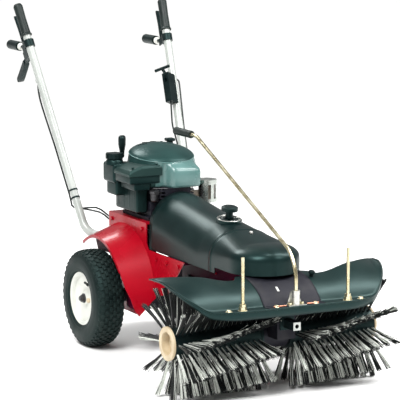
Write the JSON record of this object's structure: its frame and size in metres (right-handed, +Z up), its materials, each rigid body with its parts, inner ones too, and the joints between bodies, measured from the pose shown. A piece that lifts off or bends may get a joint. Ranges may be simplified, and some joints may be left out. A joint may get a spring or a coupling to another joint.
{
  "type": "power brush sweeper",
  "caption": "Walk-behind powered sweeper: engine over a driven axle, upright handles with control levers, and a swivelling rotary brush head under a flared hood.",
  "frame": {"origin": "middle of the bounding box, on the ground", "axes": "+Z up, -Y towards the brush, +Y towards the operator, X along the axle"},
  "size_m": [0.78, 1.6356, 1.1263],
  "materials": {
    "red_paint": "semi-gloss red enamel",
    "white_tube": "off-white enamel",
    "white_rim": "off-white enamel",
    "tyre": "black rubber",
    "dark_alloy": "dark cast alloy",
    "steel": "plain turned steel",
    "pulley_steel": "dark pressed steel",
    "bronze": "bronze",
    "flywheel_alloy": "cast alloy",
    "black_plastic": "black moulding",
    "starter_plastic": "dark grey-green moulding",
    "grip_rubber": "black rubber",
    "cable_sheath": "black sheath",
    "housing_paint": "grey-green enamel",
    "muffler_steel": "heat-stained steel",
    "guard_chrome": "bright plated",
    "cover_plastic": "satin black moulding",
    "belt_rubber": "black rubber",
    "zinc": "bright zinc plated",
    "yellow_zinc": "yellow zinc plated",
    "bristle": "nylon bristles in a moulded core",
    "hub_plastic": "cream moulding"
  },
  "bodies": {
    "chassis": {"chassis_frame": "red_paint", "right_fender": "red_paint", "left_fender": "red_paint", "head_carrier": "red_paint", "transaxle_case": "dark_alloy", "right_handle_tube": "white_tube", "left_handle_tube": "white_tube", "handle_clamps": "black_plastic", "handle_grips": "grip_rubber", "lever_clamps": "black_plastic", "throttle_case": "black_plastic", "brush_cable": "cable_sheath", "reverse_cable": "cable_sheath", "drive_cable": "cable_sheath", "throttle_cable": "cable_sheath", "engine_block": "dark_alloy", "blower_housing": "housing_paint", "starter_cover": "starter_plastic", "fuel_tank": "black_plastic", "air_cleaner": "black_plastic", "muffler": "muffler_steel", "muffler_guard": "guard_chrome", "belt_cover_rear": "cover_plastic", "belt_cover_front": "cover_plastic", "brush_belt": "belt_rubber", "drive_belt": "belt_rubber", "chassis_bolts": "zinc"},
    "wheels": {"axle_shaft": "steel", "right_tyre": "tyre", "left_tyre": "tyre", "right_rim": "white_rim", "left_rim": "white_rim"},
    "traction_input": {"drive_pulley": "pulley_steel"},
    "head": {"gearbox_case": "dark_alloy", "brush_hood": "cover_plastic", "hood_fasteners": "yellow_zinc", "support_rods": "yellow_zinc", "swivel_lever": "yellow_zinc", "swivel_grip": "grip_rubber", "lever_bracket": "zinc", "accessory_socket": "white_rim"},
    "brush": {"brush_shaft": "steel", "worm_wheel": "bronze", "right_brush": "bristle", "left_brush": "bristle", "brush_hubs": "hub_plastic"},
    "brush_input": {"worm_shaft": "steel", "brush_pulley": "pulley_steel"},
    "engine_rotor": {"crankshaft": "steel", "flywheel": "flywheel_alloy", "engine_pulley": "pulley_steel"},
    "brush_hand": {"brush_lever": "black_plastic"},
    "reverse_hand": {"reverse_lever": "black_plastic"},
    "drive_hand": {"drive_lever": "black_plastic"},
    "throttle_hand": {"throttle_lever": "black_plastic"},
    "idler": {"idler_arm": "pulley_steel"},
    "idler_wheel": {"idler_pulley": "pulley_steel"},
    "knob": {"selector_knob": "black_plastic"},
    "tank_cap": {"fuel_cap": "black_plastic"},
    "recoil": {"starter_grip": "black_plastic"}
  },
  "joints": [
    {"name": "axle_roll", "type": "hinge", "parent": "chassis", "child": "wheels", "pos_m": [0, 0.16721, 0.165], "axis": [1, 0, 0], "continuous": true},
    {"name": "head_swivel", "type": "hinge", "parent": "chassis", "child": "head", "pos_m": [0, -0.58679, 0.365], "axis": [0, 0, 1], "range_deg": [-20, 20]},
    {"name": "brush_spin", "type": "hinge", "parent": "head", "child": "brush", "pos_m": [0, -0.63479, 0.175], "axis": [1, 0, 0], "continuous": true},
    {"name": "worm_spin", "type": "hinge", "parent": "head", "child": "brush_input", "pos_m": [0, -0.58679, 0.398], "axis": [0, 0, 1], "continuous": true},
    {"name": "crank_spin", "type": "hinge", "parent": "chassis", "child": "engine_rotor", "pos_m": [0, 0.13721, 0.398], "axis": [0, 0, 1], "continuous": true},
    {"name": "traction_spin", "type": "hinge", "parent": "chassis", "child": "traction_input", "pos_m": [0, 0.22921, 0.398], "axis": [0, 0, 1], "continuous": true},
    {"name": "brush_lever_pull", "type": "hinge", "parent": "chassis", "child": "brush_hand", "pos_m": [-0.26725, 0.67279, 0.97103], "axis": [0.9949, 0, 0.1011], "range_deg": [0, 10], "stiffness_Nm_per_rad": 4, "springref_deg": -20.05},
    {"name": "reverse_lever_pull", "type": "hinge", "parent": "chassis", "child": "reverse_hand", "pos_m": [-0.26384, 0.66378, 0.93746], "axis": [0.9949, 0, 0.1011], "range_deg": [0, 12], "stiffness_Nm_per_rad": 2, "springref_deg": -20.05},
    {"name": "drive_lever_pull", "type": "hinge", "parent": "chassis", "child": "drive_hand", "pos_m": [0.26725, 0.67279, 0.97103], "axis": [0.9949, 0, -0.1011], "range_deg": [0, 10], "stiffness_Nm_per_rad": 4, "springref_deg": -20.05},
    {"name": "throttle_set", "type": "hinge", "parent": "chassis", "child": "throttle_hand", "pos_m": [0.22411, 0.54947, 0.85483], "axis": [-0.5388, 0.7632, -0.3566], "range_deg": [-30, 30]},
    {"name": "idler_swing", "type": "hinge", "parent": "chassis", "child": "idler", "pos_m": [0.026, -0.18479, 0.377], "axis": [0, 0, -1], "range_deg": [0, 6]},
    {"name": "idler_spin", "type": "hinge", "parent": "idler", "child": "idler_wheel", "pos_m": [-0.024, -0.23479, 0.398], "axis": [0, 0, 1], "continuous": true},
    {"name": "knob_turn", "type": "hinge", "parent": "chassis", "child": "knob", "pos_m": [0, -0.35879, 0.489], "axis": [0, -0.1219, 0.9925], "range_deg": [0, 150]},
    {"name": "cap_turn", "type": "hinge", "parent": "chassis", "child": "tank_cap", "pos_m": [-0.148, 0.19521, 0.63], "axis": [0, 0, 1], "range_deg": [0, 90]},
    {"name": "starter_pull", "type": "slide", "parent": "chassis", "child": "recoil", "axis": [0, 0, 1], "range_m": [0, 0.05], "stiffness_N_per_m": 40, "springref_m": -0.05}
  ],
  "couplings": [
    {"joint": "worm_spin", "follows": "brush_spin", "ratio": -10},
    {"joint": "traction_spin", "follows": "crank_spin", "ratio": 1},
    {"joint": "idler_swing", "follows": "brush_lever_pull", "ratio": 0.6}
  ]
}
